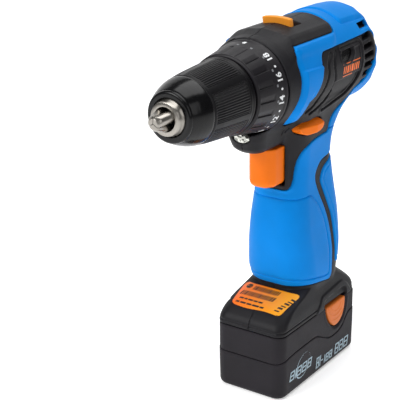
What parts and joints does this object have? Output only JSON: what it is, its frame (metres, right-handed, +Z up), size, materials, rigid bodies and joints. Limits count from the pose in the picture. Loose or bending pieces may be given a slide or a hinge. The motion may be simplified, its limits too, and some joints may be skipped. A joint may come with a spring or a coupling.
{
  "type": "cordless drill",
  "caption": "Pistol-grip cordless drill with keyless three-jaw chuck, torque collar, speed slider, side-pushed direction switch, trigger and slide-out battery.",
  "frame": {"origin": "centre of the battery's flat underside, which the drill stands on", "axes": "+Z up, -Y the way the chuck points, +X the side with no screw heads"},
  "size_m": [0.066, 0.2245, 0.2604],
  "materials": {
    "black_shell": "fine texture",
    "blue_cover": "satin",
    "battery_shell": "fine texture",
    "orange_button": "satin",
    "collar_plastic": "satin",
    "chuck_plastic": "gloss",
    "chuck_steel": "turned",
    "clear_lens": "clear",
    "screws": "black zinc",
    "motor_steel": "plated",
    "magnet": "ferrite",
    "nylon": "moulded",
    "carbon": "graphite",
    "copper": "copper",
    "gear_steel": "sintered",
    "spring_steel": "drawn",
    "clutch_nylon": "moulded",
    "cell_wrap": "shrink wrap"
  },
  "bodies": {
    "housing": {"housing_left": "black_shell", "housing_right": "black_shell", "upper_cover": "blue_cover", "grip_cover": "blue_cover", "palm_pad": "blue_cover", "housing_screws": "screws", "light_lens": "clear_lens", "motor_can": "motor_steel", "motor_magnets": "magnet", "motor_end_cap": "nylon", "motor_bearings": "motor_steel", "motor_brushes": "carbon", "motor_plate": "gear_steel", "gearbox_case": "nylon", "ring_gear_1": "gear_steel", "ring_gear_3": "gear_steel", "clutch_pins": "gear_steel", "clutch_spring": "spring_steel", "spindle_bearing": "motor_steel", "trigger_switch": "nylon", "trigger_spring": "spring_steel", "terminal_block": "nylon"},
    "rotor": {"motor_shaft": "motor_steel", "armature_core": "motor_steel", "armature_windings": "copper", "commutator": "copper"},
    "carrier_1": {"planet_carrier_1": "gear_steel"},
    "carrier_2": {"planet_carrier_2": "gear_steel"},
    "chuck": {"output_spindle": "gear_steel", "chuck_body": "chuck_steel", "chuck_screw": "chuck_steel"},
    "sleeve": {"chuck_sleeve": "chuck_plastic", "chuck_nose_cap": "chuck_plastic", "chuck_nut": "chuck_steel"},
    "collar": {"torque_collar": "collar_plastic"},
    "clutch_nut": {"clutch_nut": "clutch_nylon"},
    "selector": {"gear_selector": "orange_button", "shift_fork": "spring_steel", "ring_gear_2": "gear_steel"},
    "trigger": {"trigger": "orange_button"},
    "direction_switch": {"direction_switch": "orange_button"},
    "battery": {"battery_case": "battery_shell", "battery_cover": "battery_shell", "battery_screws": "screws", "battery_cells": "cell_wrap", "battery_contacts": "copper"},
    "release_left": {"release_button_left": "orange_button"},
    "release_right": {"release_button_right": "orange_button"},
    "jaw_1": {"chuck_jaw_1": "chuck_steel"},
    "jaw_2": {"chuck_jaw_2": "chuck_steel"},
    "jaw_3": {"chuck_jaw_3": "chuck_steel"},
    "planet_1a": {"planet_gear_1a": "gear_steel"},
    "planet_1b": {"planet_gear_1b": "gear_steel"},
    "planet_1c": {"planet_gear_1c": "gear_steel"},
    "planet_2a": {"planet_gear_2a": "gear_steel"},
    "planet_2b": {"planet_gear_2b": "gear_steel"},
    "planet_2c": {"planet_gear_2c": "gear_steel"},
    "planet_3a": {"planet_gear_3a": "gear_steel"},
    "planet_3b": {"planet_gear_3b": "gear_steel"},
    "planet_3c": {"planet_gear_3c": "gear_steel"}
  },
  "joints": [
    {"name": "chuck_spin", "type": "hinge", "parent": "housing", "child": "chuck", "pos_m": [0, 0, 0.222], "axis": [0, 1, 0], "continuous": true},
    {"name": "carrier_2_spin", "type": "hinge", "parent": "housing", "child": "carrier_2", "pos_m": [0, 0, 0.222], "axis": [0, 1, 0], "continuous": true},
    {"name": "carrier_1_spin", "type": "hinge", "parent": "housing", "child": "carrier_1", "pos_m": [0, 0, 0.222], "axis": [0, 1, 0], "continuous": true},
    {"name": "rotor_spin", "type": "hinge", "parent": "housing", "child": "rotor", "pos_m": [0, 0, 0.222], "axis": [0, 1, 0], "continuous": true},
    {"name": "planet_1a_spin", "type": "hinge", "parent": "carrier_1", "child": "planet_1a", "pos_m": [0.01039, 0, 0.216], "axis": [0, 1, 0], "continuous": true},
    {"name": "planet_1b_spin", "type": "hinge", "parent": "carrier_1", "child": "planet_1b", "pos_m": [-0.01039, 0, 0.216], "axis": [0, 1, 0], "continuous": true},
    {"name": "planet_1c_spin", "type": "hinge", "parent": "carrier_1", "child": "planet_1c", "pos_m": [0, 0, 0.234], "axis": [0, 1, 0], "continuous": true},
    {"name": "planet_2a_spin", "type": "hinge", "parent": "carrier_2", "child": "planet_2a", "pos_m": [0.01039, 0, 0.216], "axis": [0, 1, 0], "continuous": true},
    {"name": "planet_2b_spin", "type": "hinge", "parent": "carrier_2", "child": "planet_2b", "pos_m": [-0.01039, 0, 0.216], "axis": [0, 1, 0], "continuous": true},
    {"name": "planet_2c_spin", "type": "hinge", "parent": "carrier_2", "child": "planet_2c", "pos_m": [0, 0, 0.234], "axis": [0, 1, 0], "continuous": true},
    {"name": "planet_3a_spin", "type": "hinge", "parent": "chuck", "child": "planet_3a", "pos_m": [0.01039, 0, 0.216], "axis": [0, 1, 0], "continuous": true},
    {"name": "planet_3b_spin", "type": "hinge", "parent": "chuck", "child": "planet_3b", "pos_m": [-0.01039, 0, 0.216], "axis": [0, 1, 0], "continuous": true},
    {"name": "planet_3c_spin", "type": "hinge", "parent": "chuck", "child": "planet_3c", "pos_m": [0, 0, 0.234], "axis": [0, 1, 0], "continuous": true},
    {"name": "sleeve_turn", "type": "hinge", "parent": "chuck", "child": "sleeve", "pos_m": [0, 0, 0.222], "axis": [0, 1, 0], "range_deg": [0, 3600]},
    {"name": "jaw_1_slide", "type": "slide", "parent": "chuck", "child": "jaw_1", "axis": [0, 0.9659, -0.2588], "range_m": [0, 0.0232]},
    {"name": "jaw_2_slide", "type": "slide", "parent": "chuck", "child": "jaw_2", "axis": [-0.2241, 0.9659, 0.1294], "range_m": [0, 0.0232]},
    {"name": "jaw_3_slide", "type": "slide", "parent": "chuck", "child": "jaw_3", "axis": [0.2241, 0.9659, 0.1294], "range_m": [0, 0.0232]},
    {"name": "collar_turn", "type": "hinge", "parent": "housing", "child": "collar", "pos_m": [0, 0, 0.222], "axis": [0, 1, 0], "range_deg": [0, 300]},
    {"name": "clutch_nut_slide", "type": "slide", "parent": "collar", "child": "clutch_nut", "axis": [0, 1, 0], "range_m": [0, 0.006], "deforming": ["clutch_spring"]},
    {"name": "gear_selector_slide", "type": "slide", "parent": "housing", "child": "selector", "axis": [0, 1, 0], "range_m": [0, 0.0055]},
    {"name": "trigger_pull", "type": "slide", "parent": "housing", "child": "trigger", "axis": [0, 1, 0], "range_m": [0, 0.006], "stiffness_N_per_m": 700, "springref_m": -0.004, "deforming": ["trigger_spring"]},
    {"name": "direction_switch_slide", "type": "slide", "parent": "housing", "child": "direction_switch", "axis": [1, 0, 0], "range_m": [-0.003, 0.003]},
    {"name": "battery_slide", "type": "slide", "parent": "housing", "child": "battery", "axis": [0, 0, -1], "range_m": [0, 0.075]},
    {"name": "release_left_press", "type": "slide", "parent": "battery", "child": "release_left", "axis": [-1, 0, 0], "range_m": [0, 0.0025], "stiffness_N_per_m": 1200, "springref_m": -0.002},
    {"name": "release_right_press", "type": "slide", "parent": "battery", "child": "release_right", "axis": [1, 0, 0], "range_m": [0, 0.0025], "stiffness_N_per_m": 1200, "springref_m": -0.002}
  ],
  "couplings": [
    {"joint": "carrier_2_spin", "follows": "chuck_spin", "ratio": 4},
    {"joint": "carrier_1_spin", "follows": "chuck_spin", "ratio": 16},
    {"joint": "rotor_spin", "follows": "chuck_spin", "ratio": 64},
    {"joint": "planet_1a_spin", "follows": "chuck_spin", "ratio": -48},
    {"joint": "planet_1b_spin", "follows": "chuck_spin", "ratio": -48},
    {"joint": "planet_1c_spin", "follows": "chuck_spin", "ratio": -48},
    {"joint": "planet_2a_spin", "follows": "chuck_spin", "ratio": -12},
    {"joint": "planet_2b_spin", "follows": "chuck_spin", "ratio": -12},
    {"joint": "planet_2c_spin", "follows": "chuck_spin", "ratio": -12},
    {"joint": "planet_3a_spin", "follows": "chuck_spin", "ratio": -3},
    {"joint": "planet_3b_spin", "follows": "chuck_spin", "ratio": -3},
    {"joint": "planet_3c_spin", "follows": "chuck_spin", "ratio": -3},
    {"joint": "jaw_1_slide", "follows": "sleeve_turn", "m_per_rad": 0.00036908},
    {"joint": "jaw_2_slide", "follows": "sleeve_turn", "m_per_rad": 0.00036908},
    {"joint": "jaw_3_slide", "follows": "sleeve_turn", "m_per_rad": 0.00036908},
    {"joint": "clutch_nut_slide", "follows": "collar_turn", "m_per_rad": 0.0011268}
  ]
}
